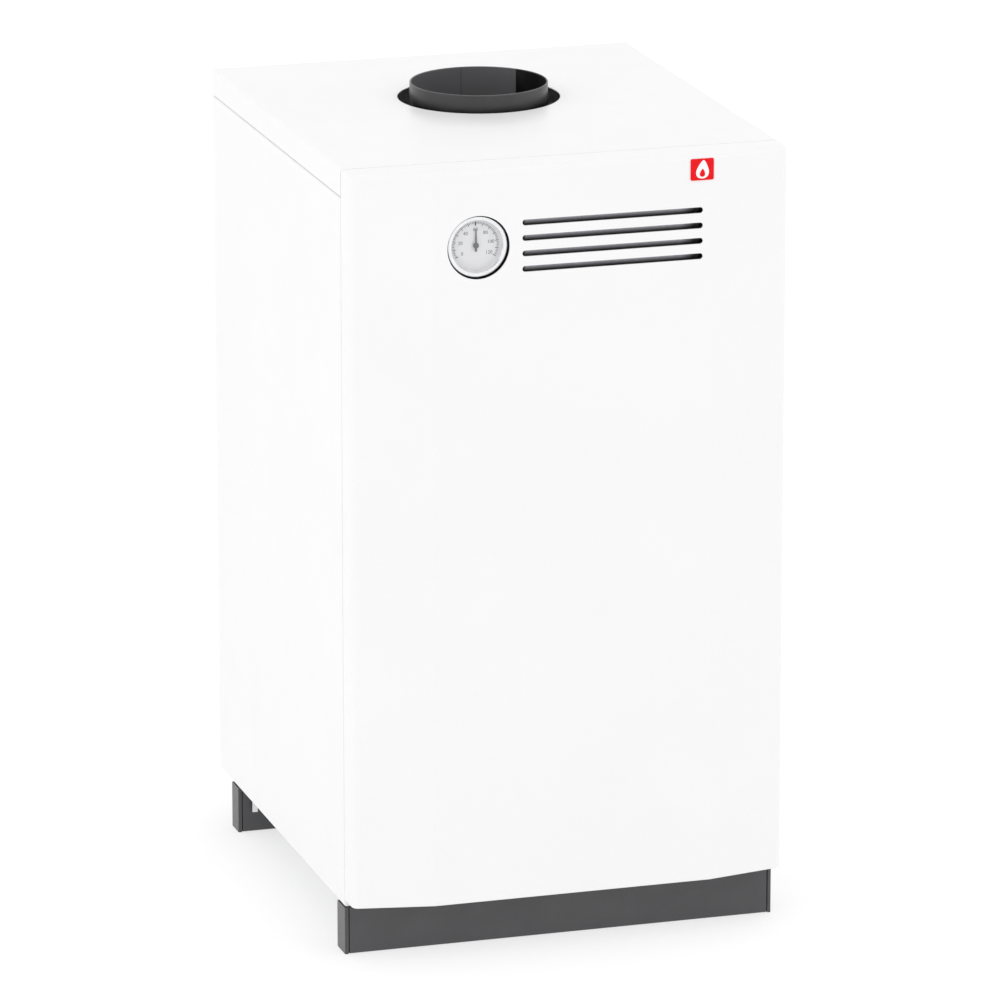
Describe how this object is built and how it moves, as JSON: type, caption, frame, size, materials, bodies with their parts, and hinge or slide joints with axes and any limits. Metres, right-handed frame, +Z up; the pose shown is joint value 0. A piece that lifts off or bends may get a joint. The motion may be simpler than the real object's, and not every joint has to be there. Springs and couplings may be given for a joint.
{
  "type": "floor-standing gas boiler with burner unit",
  "caption": "White floor-standing gas boiler with a hinged front door, round thermometer, vent slots, top flue collar, graphite feet and a full atmospheric burner unit inside.",
  "frame": {"origin": "on the floor, under the middle of the overall box", "axes": "+Z up, -Y is the front with the door, +X is to the right seen from the front"},
  "size_m": [0.416, 0.5206, 0.7585],
  "materials": {
    "white_paint": "smooth powder coat, semi-gloss",
    "graphite_paint": "fine-textured powder coat, satin",
    "flue_enamel": "heat-resistant graphite paint, semi-gloss",
    "zinc_sheet": "galvanised sheet",
    "boiler_steel": "grey primer on black steel",
    "stainless": "heat-tinted stainless steel",
    "zinc_fixings": "bright zinc plate",
    "brass": "turned brass",
    "copper": "drawn copper",
    "cast_aluminium": "die-cast and drawn aluminium",
    "manifold_steel": "black-oxide steel",
    "gas_pipe_paint": "yellow paint",
    "black_plastic": "fine-grained moulding",
    "button_plastic": "satin moulding",
    "bezel": "bright plated ring",
    "gauge_case": "matt moulding",
    "dial_face": "silk-matt printed dial",
    "pointer_paint": "dark grey paint",
    "clear_glass": "clear",
    "badge_red": "glossy domed",
    "mineral_wool": "foil-faced mineral wool",
    "seal_foam": "closed-cell foam",
    "fibre_gasket": "ceramic-fibre card",
    "silicone": "silicone sleeve",
    "ceramic": "glazed alumina",
    "sensor_metal": "stamped"
  },
  "bodies": {
    "casing": {"base_plate": "zinc_sheet", "boiler_supports": "zinc_sheet", "burner_gasket": "fibre_gasket", "burner_plate": "zinc_sheet", "burner_rest": "stainless", "burner_tubes": "stainless", "capillary_tubes": "copper", "case_screws": "zinc_fixings", "combustion_chamber": "boiler_steel", "control_rail": "graphite_paint", "draught_hood": "flue_enamel", "draught_thermostat": "sensor_metal", "drip_tray": "zinc_sheet", "flue_collar": "flue_enamel", "foot_covers": "graphite_paint", "front_foot": "graphite_paint", "gas_inlet_pipe": "gas_pipe_paint", "gas_manifold": "manifold_steel", "gas_valve": "cast_aluminium", "hinge_arms": "zinc_sheet", "hinge_pins": "zinc_fixings", "ignition_lead": "silicone", "injectors": "brass", "insulation_blanket": "mineral_wool", "jacket_shell": "boiler_steel", "left_side_panel": "white_paint", "lid": "white_paint", "lid_seals": "seal_foam", "magnetic_catches": "black_plastic", "piezo_body": "black_plastic", "pilot_burner": "stainless", "pilot_tube": "cast_aluminium", "plate_nuts": "zinc_fixings", "rear_foot": "graphite_paint", "rear_panel": "white_paint", "return_pipe": "boiler_steel", "right_side_panel": "white_paint", "sight_glass": "clear_glass", "smoke_hood": "flue_enamel", "spark_electrode": "ceramic", "supply_pipe": "boiler_steel", "thermocouple": "copper", "thermometer_bezel": "bezel", "thermometer_case": "gauge_case", "thermometer_dial": "dial_face", "thermometer_glass": "clear_glass", "thermowell": "brass", "tube_bundle": "boiler_steel", "turbulators": "stainless", "union_nuts": "brass"},
    "door": {"door_skin": "white_paint", "door_brackets": "zinc_sheet", "door_stiffener": "zinc_sheet", "vent_blades": "graphite_paint", "badge": "badge_red"},
    "gauge_hand": {"thermometer_pointer": "pointer_paint"},
    "knob_stem": {"valve_stem": "zinc_fixings"},
    "knob": {"valve_knob": "black_plastic"},
    "igniter_button": {"piezo_button": "button_plastic"},
    "sight_flap": {"sight_cover": "sensor_metal"}
  },
  "joints": [
    {"name": "door_hinge", "type": "hinge", "parent": "casing", "child": "door", "pos_m": [-0.202, -0.2359, 0.4], "axis": [0, 0, -1], "range_deg": [0, 90]},
    {"name": "hand_turn", "type": "hinge", "parent": "casing", "child": "gauge_hand", "pos_m": [-0.091, -0.245, 0.6734], "axis": [0, 1, 0], "range_deg": [-120, 120]},
    {"name": "knob_push", "type": "slide", "parent": "casing", "child": "knob_stem", "axis": [0, 1, 0], "range_m": [0, 0.005], "stiffness_N_per_m": 400},
    {"name": "knob_turn", "type": "hinge", "parent": "knob_stem", "child": "knob", "pos_m": [0, -0.2, 0.265], "axis": [0, -1, 0], "range_deg": [0, 270]},
    {"name": "igniter_press", "type": "slide", "parent": "casing", "child": "igniter_button", "axis": [0, 1, 0], "range_m": [0, 0.004], "stiffness_N_per_m": 600},
    {"name": "flap_swing", "type": "hinge", "parent": "casing", "child": "sight_flap", "pos_m": [0.099, -0.108, 0.168], "axis": [0, -1, 0], "range_deg": [0, 95]}
  ]
}
